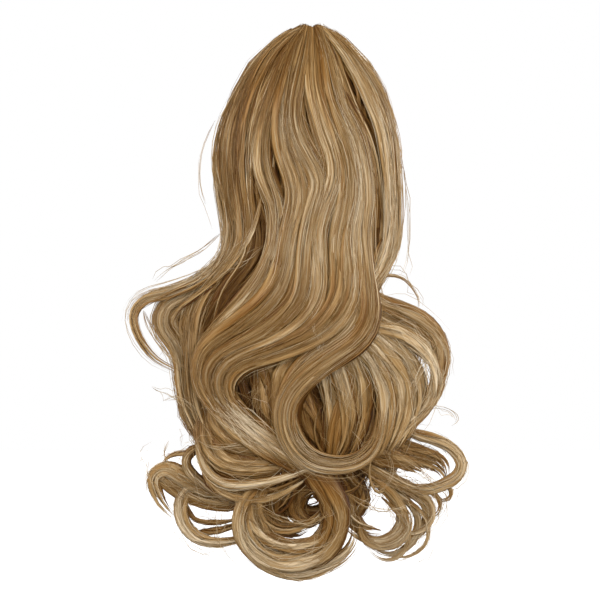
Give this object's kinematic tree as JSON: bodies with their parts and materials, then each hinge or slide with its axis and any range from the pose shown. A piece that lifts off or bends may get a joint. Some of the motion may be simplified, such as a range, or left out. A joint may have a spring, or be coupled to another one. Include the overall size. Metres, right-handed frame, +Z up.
{
  "type": "claw clip ponytail hairpiece",
  "caption": "Long curled ponytail hairpiece on a claw clip: locks fan out from a peaked crown, fall straight and end in loose curls.",
  "frame": {"origin": "middle of the claw clip's grip, where the wearer's own ponytail is held", "axes": "+Z up towards the peak of the crown, the hair hangs down -Z; -Y is the outer side that shows, +Y faces the wearer and is the side of the clip's mouth; +X is to the right as seen from outside"},
  "size_m": [0.2254, 0.0923, 0.3617],
  "materials": {
    "clip_plastic": "polished dark amber plastic",
    "hair_outer": "satin golden blonde fibre",
    "hair_middle": "satin amber blonde fibre",
    "hair_inner": "satin shaded blonde fibre"
  },
  "bodies": {
    "root": {"claw_clip": "clip_plastic", "outer_weft": "hair_outer", "middle_weft": "hair_middle", "inner_weft": "hair_inner"}
  },
  "joints": []
}
